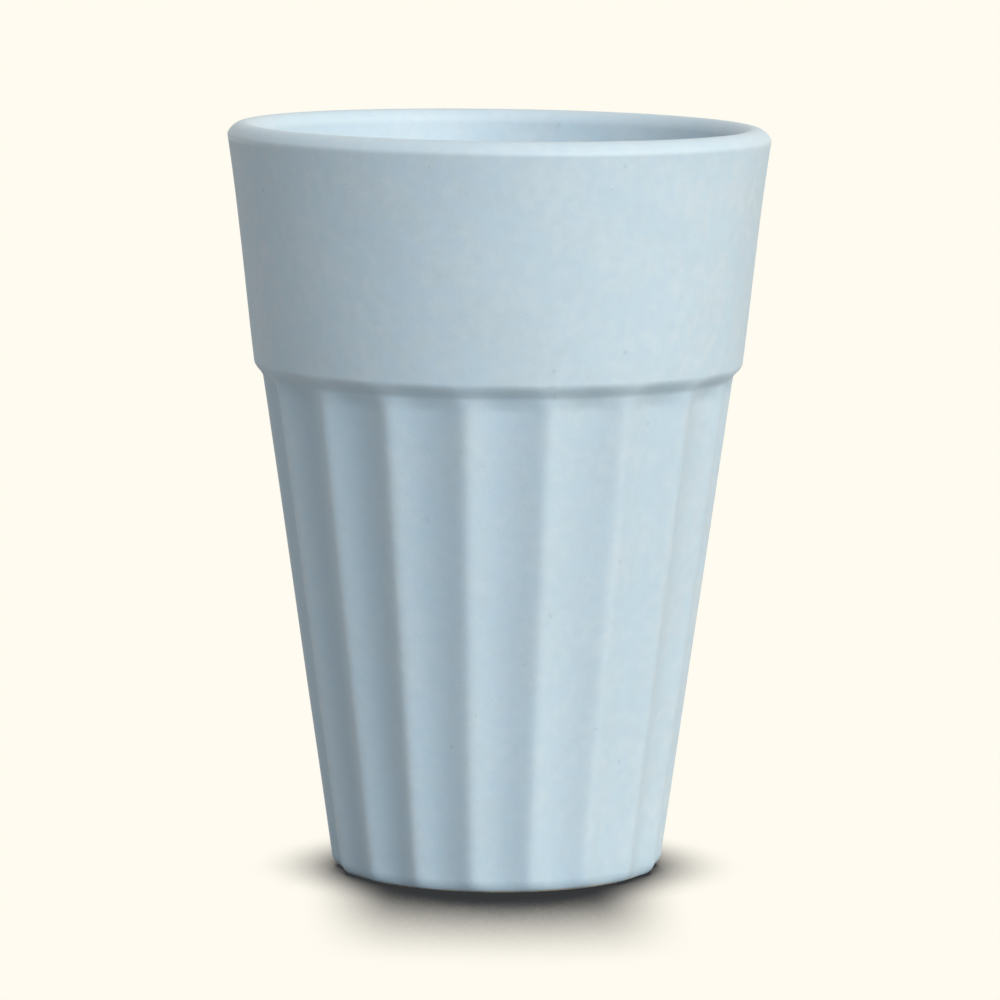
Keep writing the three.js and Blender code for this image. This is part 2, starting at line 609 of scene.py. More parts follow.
class TurnedWare(GroupGraph):
    """The Geometry Nodes tree that turns a profile about +Z and presses the flutes into it."""

    MERGE_DISTANCE: ClassVar[float] = 0.001 * MM
    SHARP_ANGLE: ClassVar[float] = math.radians(38)
    HEAD_FLAT: ClassVar[float] = 0.4
    RIB_CREST: ClassVar[float] = 1.4
    WOBBLES_PER_METRE: ClassVar[float] = 40
    WOBBLE_SCALE: ClassVar[float] = 0.9
    WAVER_SCALE: ClassVar[float] = 2.6
    COUNTS: ClassVar[Names] = ("Flutes", "Columns per Flute")
    CUP_SIZES: ClassVar[Names] = ("Height", "Rim Radius", "Rib Radius")
    FLUTE_SIZES: ClassVar[Names] = ("Flute Sag", "Rib Softness", "Flute Head", "Head Length", "Head Drop")
    COAT_SHARES: ClassVar[Names] = ("Rib Break", "Flute Pool and Shade", "Shaded Side")
    HAND_SIZES: ClassVar[Names] = ("Depth Spread", "Wobble", "Waver", "Lean", "Twist", "Seed")

    def __init__(self) -> None:
        """Build the tree."""
        sizes = (*self.CUP_SIZES, *self.FLUTE_SIZES, *self.COAT_SHARES, *self.HAND_SIZES)
        numbers = {**dict.fromkeys(self.COUNTS, "Int"), **dict.fromkeys(sizes, "Float")}
        inputs = {"Profile": "Geometry", **numbers, "Material": "Material"}
        super().__init__("turned_ware", "GeometryNodeTree", inputs, {"Mesh": "Geometry"})
        self._lay_nodes()

    def _sample(self, name: str, row: Term, kind: str = "FLOAT") -> Term:
        """Read an attribute of the profile's point on a row.

        Args:
            name: Name of the attribute.
            row: Number of the row.
            kind: Blender's name for the attribute's type.

        Returns:
            The value.
        """
        stored = self.term("GeometryNodeInputNamedAttribute", {"Name": name}, data_type=kind)
        inputs = {"Geometry": self.given("Profile"), "Value": stored, "Index": row}
        return self.term("GeometryNodeSampleIndex", inputs, data_type=kind, domain="POINT")

    def _lay_nodes(self) -> None:
        """Lay the nodes from the profile to the finished mesh."""
        columns = self.given("Flutes") * self.given("Columns per Flute")
        across = columns + 1
        profile = {0: self.given("Profile")}
        rows = self.term("GeometryNodeAttributeDomainSize", profile, "Point Count", component="MESH")
        mesh = self.term("GeometryNodeMeshGrid", {"Vertices X": rows, "Vertices Y": across}, "Mesh")
        index = self.term("GeometryNodeInputIndex", {})
        row = self.math("FLOOR", index / across)
        column = index - row * across
        angle = column / columns * math.tau

        radius, _, height = self.split(self._sample("position", row, "FLOAT_VECTOR"))
        recess, rib, aside = self._flute(column, radius)
        flute = self._sample("flute", row) * self._flute_head(height, aside)
        wobble, waver = self._hand(angle, height)
        run_out, _, run_up = self.split(self._sample("run", row, "FLOAT_VECTOR"))
        radius = (radius + run_out * waver) * (1 - flute * recess) * (1 + wobble)
        height = height + run_up * waver
        level = height / self.given("Height")
        turned = angle - level * self.given("Twist")
        right = radius * self.math("SINE", turned) * -1
        back = radius * self.math("COSINE", turned) * -1
        dip = level * level * self.given("Lean") * (1 + right / self.given("Rim Radius")) / 2
        place = self.join(right, back, height - dip)
        mesh = self.term("GeometryNodeSetPosition", {0: mesh, "Position": place})

        worn = rib * flute * self.given("Rib Break")
        # Gathered glaze in the flutes, partly painted shade in the hollows; the side share makes it heavier on
        # the cup's left, away from the lamps, as painted shade.
        pooling_and_side_shade = self.given("Flute Pool and Shade") * (1 + self.math("SINE", angle) * self.given("Shaded Side"))
        gathered = flute * (1 - aside * aside) * pooling_and_side_shade
        for mask, share in ((Mask.THIN, worn), (Mask.POOL_AND_SHADE, gathered)):
            value = self.math("MAXIMUM", self._sample(mask.value, row), share)
            inputs = {0: mesh, "Name": mask.value, "Value": value}
            mesh = self.term("GeometryNodeStoreNamedAttribute", inputs, data_type="FLOAT", domain="POINT")

        mesh = self.term("GeometryNodeMergeByDistance", {0: mesh, "Distance": self.MERGE_DISTANCE})
        mesh = self.term("GeometryNodeSetShadeSmooth", {0: mesh}, domain="FACE")
        bend = self.term("GeometryNodeInputMeshEdgeAngle", {})
        sharp = self.math("GREATER_THAN", bend, self.SHARP_ANGLE)
        inputs = {0: mesh, "Selection": sharp, "Shade Smooth": False}
        mesh = self.term("GeometryNodeSetShadeSmooth", inputs, domain="EDGE")
        mesh = self.term("GeometryNodeRealizeInstances", {0: mesh})
        mesh = self.term("GeometryNodeSetMaterial", {0: mesh, "Material": self.given("Material")})
        self.node("NodeGroupOutput", {0: mesh})

    def _flute_head(self, height: Term, aside: Term) -> Term:
        """Fade the flutes in under the step, where their heads are rounded and start lower beside a rib.

        Args:
            height: Height over the table.
            aside: Share of the way from a flute's middle to a rib.

        Returns:
            The share of the flutes' depth at that place.
        """
        corner = self.math("MAXIMUM", (aside - self.HEAD_FLAT) / (1 - self.HEAD_FLAT), 0.0)
        drop = self.given("Head Drop") * (1 - self.math("SQRT", 1 - corner * corner))
        top = self.given("Flute Head") - drop
        return self.smooth(height, top, top - self.given("Head Length"))

    def _flute(self, column: Term, radius: Term) -> tuple[Term, Term, Term]:
        """Work out how deep a flute is at a column, as a share of the radius over the ribs.

        A flute is the arc of a circle through two neighbouring ribs, and the ribs are rounded over.

        Args:
            column: Number of the column.
            radius: Radius over the ribs on the row.

        Returns:
            The recess of the flute, a mask of the ribs, and the share of the way from the flute's middle
            to a rib.
        """
        half_angle = math.pi / self.given("Flutes")
        sag = self.given("Flute Sag") / self.given("Rib Radius")
        softness = self.given("Rib Softness") / self.math("MAXIMUM", radius, self.MERGE_DISTANCE)
        half_chord = self.math("SINE", half_angle)
        arc_radius = (half_chord * half_chord + sag * sag) / (sag * 2)
        arc_centre = self.math("COSINE", half_angle) - sag + arc_radius

        turns = column / self.given("Columns per Flute")
        number = self.math("ROUND", turns)
        from_rib = half_angle - self.math("ABSOLUTE", turns - number) * half_angle * 2
        rounded = self.math("SQRT", from_rib * from_rib + softness * softness) - softness
        widest = self.math("SQRT", half_angle * half_angle + softness * softness) - softness
        angle = half_angle * (1 - rounded / widest)
        aside = arc_centre * self.math("SINE", angle)
        reach = self.math("SQRT", arc_radius * arc_radius - aside * aside)
        recess = 1 - (arc_centre * self.math("COSINE", angle) - reach)

        wrapped = self.math("FLOORED_MODULO", number, self.given("Flutes")) + self.given("Seed")
        chance = self.term("ShaderNodeTexWhiteNoise", {"W": wrapped}, "Value", noise_dimensions="1D")
        recess = recess * (1 + (chance - 0.5) * self.given("Depth Spread"))
        rib = self.smooth(from_rib, softness * self.RIB_CREST, 0.0)
        return recess, rib, 1 - from_rib / half_angle

    def _hand(self, angle: Term, height: Term) -> tuple[Term, Term]:
        """Work out the small unevenness of a hand-finished pot, alike on the clay and on every coat.

        Args:
            angle: Angle of the column about the axis.
            height: Height over the table.

        Returns:
            The wobble of the wall as a share of its radius, and the waver of a glaze edge from -1 to 1.
        """
        around = (self.math("SINE", angle), self.math("COSINE", angle))
        upright = height * self.WOBBLES_PER_METRE + self.given("Seed")
        wall = self.noise(self.join(*around, upright), self.WOBBLE_SCALE, detail=1.0)
        edge = self.noise(self.join(*around, self.given("Seed")), self.WAVER_SCALE, detail=2.0)
        wobble = (wall - 0.5) * 2 * self.given("Wobble") / self.given("Rib Radius")
        return wobble, (edge - 0.5) * 2 * self.given("Waver")

    def turn(self, name: str, profile: Profile, sizes: dict[str, Any]) -> bpy.types.Object:
        """Turn a profile into a finished mesh object.

        Args:
            name: Name of the object.
            profile: Points of the profile, up outside and down inside.
            sizes: Value of each of the tree's inputs but the profile, by its name.

        Returns:
            The object, at the origin, with a plain mesh and no modifier.
        """
        outline = bpy.data.meshes.new(f"{name}_profile")
        edges = [(first, first + 1) for first in range(len(profile) - 1)]
        outline.from_pydata([(p.radius, 0.0, p.height) for p in profile], edges, [])
        for key in ("flute", Mask.THIN.value, Mask.POOL_AND_SHADE.value):
            layer = outline.attributes.new(key, "FLOAT", "POINT")
            layer.data.foreach_set("value", [getattr(p, key) for p in profile])
        layer = outline.attributes.new("run", "FLOAT_VECTOR", "POINT")
        layer.data.foreach_set("vector", [part for p in profile for part in (p.run[0], 0.0, p.run[1])])

        piece = bpy.data.objects.new(name, outline)
        bpy.context.scene.collection.objects.link(piece)
        modifier = piece.modifiers.new("turned_ware", "NODES")
        modifier.node_group = self.tree
        for key, value in sizes.items():
            modifier[self.identifiers[key]] = value
        depsgraph = bpy.context.evaluated_depsgraph_get()
        turned = bpy.data.meshes.new_from_object(
            piece.evaluated_get(depsgraph), preserve_all_data_layers=True, depsgraph=depsgraph
        )
        turned.name = name
        piece.modifiers.remove(modifier)
        piece.data = turned
        bpy.data.meshes.remove(outline)
        return piece


# Finishes


class TwoScaleNoise(GroupGraph):
    """A shader group that mixes a broad and a fine noise, about 0.5."""

    def __init__(self, name: str, broad: str, fine: str, details: tuple[float, float], output: str) -> None:
        """Build the group.

        Args:
            name: Name of the group.
            broad: What the broad noise is called.
            fine: What the fine noise is called.
            details: Detail of the broad and of the fine noise.
            output: Name of the result.
        """
        numbers = (f"{broad} Scale", f"{fine} Scale", f"{fine} Share")
        inputs = {"Vector": "Vector", **dict.fromkeys(numbers, "Float")}
        super().__init__(name, "ShaderNodeTree", inputs, {output: "Float"})
        broad_scale, fine_scale, share = (self.given(number) for number in numbers)
        first = self.noise(self.given("Vector"), broad_scale, details[0])
        second = self.noise(self.given("Vector"), fine_scale, details[1])
        self.node("NodeGroupOutput", {output: first * (1 - share) + second * share})


class ScatteredSpecks(GroupGraph):
    """A shader group that scatters uneven spots, such as iron specks, pinholes and grit."""

    BENDS_PER_CELL: ClassVar[float] = 3
    BEND_REACH: ClassVar[float] = 0.35
    SMALLEST: ClassVar[float] = 0.45

    def __init__(self) -> None:
        """Build the group."""
        numbers = dict.fromkeys(("Cells", "Share", "Radius", "Softness"), "Float")
        inputs = {"Vector": "Vector", **numbers}
        super().__init__("scattered_specks", "ShaderNodeTree", inputs, {"Mask": "Float"})
        place = self.given("Vector")
        cells = self.given("Cells")
        bend = self.noise(place, cells * self.BENDS_PER_CELL, detail=1.0, output="Color")
        reach = self.BEND_REACH / cells
        bent = self.term(
            "ShaderNodeVectorMath", {0: bend, 1: self.join(reach, reach, reach)}, operation="MULTIPLY"
        )
        spot = self.term("ShaderNodeVectorMath", {0: place, 1: bent}, operation="ADD")
        cell = self.node("ShaderNodeTexVoronoi", {"Vector": spot, "Scale": cells})
        chances = self.node("ShaderNodeSeparateColor", {0: cell.outputs["Color"]})
        holds, size = (Term(self, chances.outputs[channel]) for channel in ("Red", "Green"))
        radius = self.given("Radius") * lerp(self.SMALLEST, 1.0, size)
        core = radius * (1 - self.given("Softness"))
        disc = self.smooth(Term(self, cell.outputs["Distance"]), radius, core)
        self.node("NodeGroupOutput", {"Mask": self.math("LESS_THAN", holds, self.given("Share")) * disc})


class SurfaceEffects:
    """Shader node groups that more than one finish uses."""

    def __init__(self) -> None:
        """Build each group once."""
        self.clouding = TwoScaleNoise("glaze_clouding", "Broad", "Fine", details=(2.0, 3.0), output="Tone")
        self.specks = ScatteredSpecks()
        self.skin = TwoScaleNoise("glaze_skin", "Ripple", "Grain", details=(1.0, 2.0), output="Height")


class MaterialGraph(NodeGraph):
    """The node graph of one new material around a Principled BSDF."""

    def __init__(self, name: str) -> None:
        """Make the material and the nodes that every finish starts from.

        Args:
            name: Name of the material.
        """
        self.material = bpy.data.materials.new(name)
        self.material.use_nodes = True
        super().__init__(self.material.node_tree)
        self.shader = self.tree.nodes["Principled BSDF"]
        self.place = self.term("ShaderNodeTexCoord", {}, "Object")

    def effect(self, group: GroupGraph, values: dict[str, float]) -> Term:
        """Place a shared effect on the piece's own coordinates, with these values, and return its result."""
        return self.term("ShaderNodeGroup", {"Vector": self.place, **values}, node_tree=group.tree)

    def mask(self, mask: Mask) -> Term:
        """Return one of the piece's point masks."""
        return self.term("ShaderNodeAttribute", {}, "Fac", attribute_name=mask.value)

    def layered(self, colour: Term, layers: list[tuple[Term, float, Colour]]) -> Term:
        """Lay tints over a colour, one after another.

        Args:
            colour: The colour under them.
            layers: The mask, the strength and the colour of each tint.

        Returns:
            The colour with the tints over it.
        """
        for mask, strength, tint in layers:
            colour = self.tint(mask * strength, colour, tint)
        return colour

    def surface(self, colour: Term, roughness: Term, height: Term, relief: float) -> None:
        """Join a colour, a roughness and a relief to the shader.

        Args:
            colour: The base colour.
            roughness: The roughness.
            height: The relief, about 0 to 1.
            relief: Depth of the relief in metres.
        """
        bump = self.term("ShaderNodeBump", {"Height": height, "Distance": relief, "Strength": 1.0})
        for name, value in (("Base Color", colour), ("Roughness", roughness), ("Normal", bump)):
            self.feed(self.shader.inputs[name], value)


@dataclass(frozen=True)
class GlazeFinish:
    """A grey-blue stoneware glaze with clouds of tone, iron specks and pinholes.

    Attributes:
        name: Name of the material.
        deep: Colour of the darker clouds.
        pale: Colour of the lighter clouds.
        cool: Colour of the bluer clouds that drift over both.
        thin: Colour where the coat has run off an edge, which on the lip is partly a painted highlight.
        pool: Colour where it has gathered, and of the painted shade in the flutes, under the step and on the
            cup's left side.
        iron: Colour of the specks, the dust and the pinholes.
        rough: Roughness of the coat.
        thin_rough: Roughness where it has run thin.
        relief: Depth of the ripple in the coat.
        speck_share: Share of the speck cells that hold a speck.
    """

    name: str
    deep: Colour = (0.549, 0.647, 0.706, 1.0)
    pale: Colour = (0.615, 0.707, 0.760, 1.0)
    cool: Colour = (0.510, 0.665, 0.765, 1.0)
    thin: Colour = (0.660, 0.752, 0.805, 1.0)
    pool: Colour = (0.400, 0.535, 0.630, 1.0)
    iron: Colour = (0.330, 0.395, 0.425, 1.0)
    rough: float = 0.68
    thin_rough: float = 0.5
    relief: float = 0.05 * MM
    speck_share: float = 0.22
    COOL_STRENGTH: ClassVar[float] = 0.45
    POOL_AND_SHADE_STRENGTH: ClassVar[float] = 0.55
    THIN_AND_HIGHLIGHT_STRENGTH: ClassVar[float] = 0.3
    DUST_STRENGTH: ClassVar[float] = 0.119
    SPECK_STRENGTH: ClassVar[float] = 0.34
    PINHOLE_STRENGTH: ClassVar[float] = 0.3
    SPECK_RISE: ClassVar[float] = 0.15
    PINHOLE_DEPTH: ClassVar[float] = 0.8
    ROUGH_SPREAD: ClassVar[float] = 0.08
    TONE_SPAN: ClassVar[tuple[float, float]] = (0.3, 0.7)
    DRIFT_SPAN: ClassVar[tuple[float, float]] = (0.38, 0.62)

    def material(self, effects: SurfaceEffects) -> bpy.types.Material:
        """Build the material.

        Args:
            effects: The shared node groups.

        Returns:
            The new material.
        """
        graph = MaterialGraph(self.name)
        clouds = {"Broad Scale": 70.0, "Fine Scale": 620.0, "Fine Share": 0.58}
        drifts = {"Broad Scale": 130.0, "Fine Scale": 520.0, "Fine Share": 0.5}
        specks = {"Cells": 330.0, "Share": self.speck_share, "Radius": 0.19, "Softness": 0.9}
        motes = {"Cells": 1100.0, "Share": 0.35, "Radius": 0.3, "Softness": 0.9}
        pinholes = {"Cells": 760.0, "Share": 0.05, "Radius": 0.12, "Softness": 0.6}
        skin = {"Ripple Scale": 420.0, "Grain Scale": 2600.0, "Grain Share": 0.35}
        tone = graph.smooth(graph.effect(effects.clouding, clouds), *self.TONE_SPAN)
        drift = graph.smooth(graph.effect(effects.clouding, drifts), *self.DRIFT_SPAN)
        speck, dust, pinhole = (graph.effect(effects.specks, spots) for spots in (specks, motes, pinholes))
        thin = graph.mask(Mask.THIN)

        layers = [
            (drift, self.COOL_STRENGTH, self.cool),
            # Gathered glaze, partly painted shade in the flutes, under the step and on the cup's left side.
            (graph.mask(Mask.POOL_AND_SHADE), self.POOL_AND_SHADE_STRENGTH, self.pool),
            # Paler where the glaze runs thin on rib crests and the lip; on the lip it is partly a painted
            # highlight.
            (thin, self.THIN_AND_HIGHLIGHT_STRENGTH, self.thin),
            (dust, self.DUST_STRENGTH, self.iron),
            (speck, self.SPECK_STRENGTH, self.iron),
            (pinhole, self.PINHOLE_STRENGTH, self.iron),
        ]
        colour = graph.layered(graph.tint(tone, self.deep, self.pale), layers)
        roughness = lerp(self.rough, self.thin_rough, thin) + (tone - 0.5) * self.ROUGH_SPREAD
        height = graph.effect(effects.skin, skin) - pinhole * self.PINHOLE_DEPTH + speck * self.SPECK_RISE
        graph.surface(colour, roughness, height, self.relief)
        return graph.material


@dataclass(frozen=True)
class ClayFinish:
    """Bare buff stoneware with dark and pale grit, toasted where it meets the glaze."""

    name: str
    deep: Colour = (0.590, 0.520, 0.425, 1.0)
    pale: Colour = (0.720, 0.660, 0.570, 1.0)
    toasted: Colour = (0.500, 0.430, 0.350, 1.0)
    dark_grit: Colour = (0.200, 0.155, 0.120, 1.0)
    pale_grit: Colour = (0.820, 0.780, 0.710, 1.0)
    rough: float = 0.9
    relief: float = 0.12 * MM
    TOAST_STRENGTH: ClassVar[float] = 0.35
    PALE_STRENGTH: ClassVar[float] = 0.5
    DARK_STRENGTH: ClassVar[float] = 0.7
    GRIT_RISE: ClassVar[float] = 0.4
    ROUGH_SPREAD: ClassVar[float] = 0.1
    TONE_SPAN: ClassVar[tuple[float, float]] = (0.3, 0.7)

    def material(self, effects: SurfaceEffects) -> bpy.types.Material:
        """Build the material.

        Args:
            effects: The shared node groups.

        Returns:
            The new material.
        """
        graph = MaterialGraph(self.name)
        clouds = {"Broad Scale": 180.0, "Fine Scale": 1500.0, "Fine Share": 0.5}
        dark_spots = {"Cells": 1400.0, "Share": 0.16, "Radius": 0.3, "Softness": 0.5}
        pale_spots = {"Cells": 1100.0, "Share": 0.3, "Radius": 0.34, "Softness": 0.5}
        skin = {"Ripple Scale": 900.0, "Grain Scale": 4200.0, "Grain Share": 0.6}
        tone = graph.smooth(graph.effect(effects.clouding, clouds), *self.TONE_SPAN)
        dark, pale = (graph.effect(effects.specks, spots) for spots in (dark_spots, pale_spots))

        layers = [
            (graph.mask(Mask.THIN), self.TOAST_STRENGTH, self.toasted),
            (pale, self.PALE_STRENGTH, self.pale_grit),
            (dark, self.DARK_STRENGTH, self.dark_grit),
        ]
        colour = graph.layered(graph.tint(tone, self.deep, self.pale), layers)
        roughness = self.rough + (tone - 0.5) * self.ROUGH_SPREAD
        height = graph.effect(effects.skin, skin) + pale * self.GRIT_RISE
        graph.surface(colour, roughness, height, self.relief)
        return graph.material


# Pieces of the cup


@dataclass
class TurnedPiece(ABC):
    """A piece of the cup that is turned from a profile.

    Attributes:
        form: Sizes of the cup.
        columns_per_flute: Fineness of the mesh round the axis.
        wobble: Unevenness of the wall.
        waver: How far a glaze edge wanders.
        lean: How much lower the rim sits on its right than on its left.
        twist: Angle that the flutes turn by between the table and the height of the rim.
    """

    form: CupForm
    columns_per_flute: int = 24
    wobble: float = 0.1 * MM
    waver: float = 0.2 * MM
    lean: float = 0.7 * MM
    twist: float = math.radians(1.2)
    NAME: ClassVar[str]
    NODE: ClassVar[str]
    SLOT: ClassVar[Slot]
    FINISH: ClassVar[Union[GlazeFinish, ClayFinish]]
    RIB_BREAK: ClassVar[float] = 0.2
    # Gathered glaze in the flutes is partly painted shade, and the side share adds painted shade on the cup's
    # left, away from the lamps.
    FLUTE_POOL_AND_SHADE: ClassVar[float] = 0.6
    SHADED_SIDE: ClassVar[float] = 1.0
    DEPTH_SPREAD: ClassVar[float] = 0.06
    SEED: ClassVar[float] = 11.0

    @abstractmethod
    def profile(self) -> Profile:
        """Return the profile, up outside and down inside."""

    def build(self, ware: TurnedWare, effects: SurfaceEffects) -> bpy.types.Object:
        """Turn the piece, dress it and set it in the frame.

        Args:
            ware: The tree that turns profiles.
            effects: The shared node groups of the finishes.

        Returns:
            The finished object.
        """
        sizes = {
            "Flutes": self.form.flutes,
            "Columns per Flute": self.columns_per_flute,
            "Rib Radius": self.form.rib_radius,
            "Flute Sag": self.form.flute_sag,
            "Rib Softness": self.form.rib_softness,
            "Rib Break": self.RIB_BREAK,
            "Flute Head": self.form.collar_foot,
            "Head Length": self.form.collar_foot - self.form.runout_end,
            "Head Drop": self.form.head_drop,
            "Flute Pool and Shade": self.FLUTE_POOL_AND_SHADE,
            "Shaded Side": self.SHADED_SIDE,
            "Depth Spread": self.DEPTH_SPREAD,
            "Wobble": self.wobble,
            "Waver": self.waver,
            "Lean": self.lean,
            "Twist": self.twist,
            "Height": self.form.height,
            "Rim Radius": self.form.rim_radius,
            "Seed": self.SEED,
            "Material": self.FINISH.material(effects),
        }
        piece = ware.turn(self.NAME, self.profile(), sizes)
        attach(piece, BODY)
        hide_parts(self.NODE)
        return piece


@dataclass
class ClayBody(TurnedPiece):
    """The stoneware pot, bare on its foot ring and glazed everywhere else."""

    ring_round: float = 0.5 * MM
    ring_rows: int = 6
    toast_reach: float = 2.5 * MM
    NAME: ClassVar[str] = "stoneware_pot"
    NODE: ClassVar[str] = "clay_body"
    SLOT: ClassVar[Slot] = Slot.BARE_CLAY
    FINISH: ClassVar[ClayFinish] = ClayFinish("bare_buff_stoneware")

    def foot_ring(self) -> Profile:
        """Shape the recess and the flat ring, with its inner edge rounded over.

        Returns:
            The points from the axis in the recess out to the flat ring.
        """
        form = self.form
        slope = math.pi / 4
        turn = self.ring_round
        centre = (form.ring_inner_radius + turn * math.tan(slope / 2), turn)
        axis = ProfilePoint(0.0, form.recess_ceiling)
        ceiling_end = (form.patch_radius, form.recess_ceiling)
        return [
            axis,
            *straight((axis.radius, axis.height), ceiling_end, form.floor_rows),
            *arc(centre, turn, turn, slope - math.pi, -QUARTER, self.ring_rows),
        ]

    def profile(self) -> Profile:
        """Return the pot's profile, from the axis in the recess round to the axis on the floor.

        Returns:
            The points, with the clay's nearness to the glaze as their mask.
        """
        form = self.form
        under = form.under_glaze
        points = [
            *self.foot_ring(),
            *form.foot(under, -QUARTER, form.foot_line_angle),
            *form.foot(under, form.foot_line_angle, 0.0)[1:],
            *form.wall(under),
            *form.collar(under)[:-1],
            *form.lip(under),
            *form.inside(under),
        ]
        return [replace(p, thin=self.toast(p)) for p in points]

    def toast(self, point: ProfilePoint) -> float:
        """Work out how near a point of the foot lies to the glaze, outside or in the recess.

        Args:
            point: A point of the pot.

        Returns:
            A share from 0 to 1.
        """
        outside = smoothstep(0.0, self.form.foot_line, point.height)
        patch = self.form.patch_radius
        return max(outside, smoothstep(patch + self.toast_reach, patch, point.radius))


@dataclass
class OuterGlaze(TurnedPiece):
    """The matt coat outside, from a wandering line over the foot up to the lip line."""

    NAME: ClassVar[str] = "matt_outer_glaze"
    NODE: ClassVar[str] = "outer_glaze"
    SLOT: ClassVar[Slot] = Slot.MATT_GLAZE
    FINISH: ClassVar[GlazeFinish] = GlazeFinish("matt_grey_blue_glaze")

    def coat(self, inset: float) -> Profile:
        """Return one face of the coat from the foot line to the lip line."""
        parts = (self.form.wandering_foot(inset), self.form.wall(inset), self.form.collar(inset))
        return [self.form.glazed(p) for part in parts for p in part]

    def profile(self) -> Profile:
        """Return the coat's closed profile, up its face and down its back."""
        face = self.coat(0.0)
        return [*face, *reversed(self.coat(self.form.glaze)), face[0]]


@dataclass
class LinerGlaze(TurnedPiece):
    """The smoother coat inside, which rolls over the lip and ends at the lip line."""

    columns_per_flute: int = 12
    NAME: ClassVar[str] = "satin_liner_glaze"
    NODE: ClassVar[str] = "liner_glaze"
    SLOT: ClassVar[Slot] = Slot.LINER_GLAZE
    FINISH: ClassVar[GlazeFinish] = GlazeFinish(
        "satin_grey_blue_glaze", rough=0.45, relief=0.03 * MM, speck_share=0.15
    )

    def gathered(self, point: ProfilePoint) -> ProfilePoint:
        """Work out the masks of the inside, where the coat gathers round the floor.

        Args:
            point: A point of the coat.

        Returns:
            The same point with its masks.
        """
        form = self.form
        at_floor = smoothstep(form.floor + form.floor_fillet, form.floor, point.height)
        return replace(form.glazed(point), pool=at_floor)

    def coat(self, inset: float) -> Profile:
        """Return one face of the coat from the lip line outside down to the axis."""
        return [self.gathered(p) for p in (*self.form.lip(inset), *self.form.inside(inset))]

    def profile(self) -> Profile:
        """Return the coat's profile, up its back and then over the lip and down its face."""
        return [*reversed(self.coat(self.form.glaze)), *self.coat(0.0)]


@dataclass
class BaseGlaze(TurnedPiece):
    """The patch of glaze on the ceiling of the recess, inside the foot ring."""

    columns_per_flute: int = 8
    edge_rows: int = 6
    edge_thin: float = 0.6
    NAME: ClassVar[str] = "foot_recess_glaze"
    NODE: ClassVar[str] = "base_glaze"
    SLOT: ClassVar[Slot] = Slot.BASE_GLAZE
    FINISH: ClassVar[GlazeFinish] = GlazeFinish("matt_base_glaze", rough=0.7)

    def profile(self) -> Profile:
        """Return the patch's profile, out along its face and back along its top.

        Returns:
            The points from the axis round to the axis, with the coat run thin round the edge.
        """
        form = self.form
        depth = form.glaze
        rim = form.patch_radius - depth
        top = form.recess + depth
        edge = arc((rim, top), depth, depth, -QUARTER, 0.0, self.edge_rows)
        return [
            ProfilePoint(0.0, form.recess),
            *straight((0.0, form.recess), (rim, form.recess), form.floor_rows)[:-1],
            *(replace(p, thin=self.edge_thin) for p in edge),
            *straight((form.patch_radius, top), (0.0, top), form.floor_rows),
        ]


# Photo set


@dataclass(frozen=True)
class SoftLamp:
    """A wide, far lamp.

    Attributes:
        name: Name of the lamp.
        azimuth: Degrees to the right of the camera's side of the cup.
        elevation: Degrees over the floor.
        strength: Strength of the sun lamp.
        colour: Colour of its light.
        softness: Angle that the lamp fills, in degrees.
    """

    name: str
    azimuth: float
    elevation: float
    strength: float
    colour: tuple[float, float, float]
    softness: float = 40

    def build(self) -> None:
        """Add the lamp to the scene."""
        lamp = bpy.data.lights.new(self.name, "SUN")
        lamp.energy = self.strength
        lamp.color = self.colour
        lamp.angle = math.radians(self.softness)
        holder = bpy.data.objects.new(self.name, lamp)
        azimuth = math.radians(self.azimuth)
        elevation = math.radians(self.elevation)
        level = math.cos(elevation)
        source = Vector((level * math.sin(azimuth), -level * math.cos(azimuth), math.sin(elevation)))
        holder.rotation_mode = "QUATERNION"
        holder.rotation_quaternion = source.to_track_quat("Z", "Y")
        holder.location = source
        bpy.context.scene.collection.objects.link(holder)


@dataclass(frozen=True)
class SoftShadow:
    """A soft shadow painted into the floor's glow, from how much of the floor's surroundings the cup hides
    there.

    Attributes:
        reach: How far from the cup the shadow reaches.
        tilt: Angle behind straight up of the direction the painted shadow looks towards, in degrees.
        span: Shares of open light at which the floor is darkest and at which it shows its own colour.
    """

    reach: float
    tilt: float
    span: tuple[float, float]
    SAMPLES: ClassVar[int] = 32

    def openness(self, graph: NodeGraph) -> Term:
        """Work out how open the floor is to the light.

        Args:
            graph: Graph of the floor's material.

        Returns:
            A share from 0 in the darkest shadow to 1.
        """
        tilt = math.radians(self.tilt)
        way = graph.join(0.0, math.sin(tilt), math.cos(tilt))
        sky = {"Distance": self.reach, "Normal": way}
        light = graph.term("ShaderNodeAmbientOcclusion", sky, "AO", samples=self.SAMPLES)
        return graph.smooth(light, *self.span)


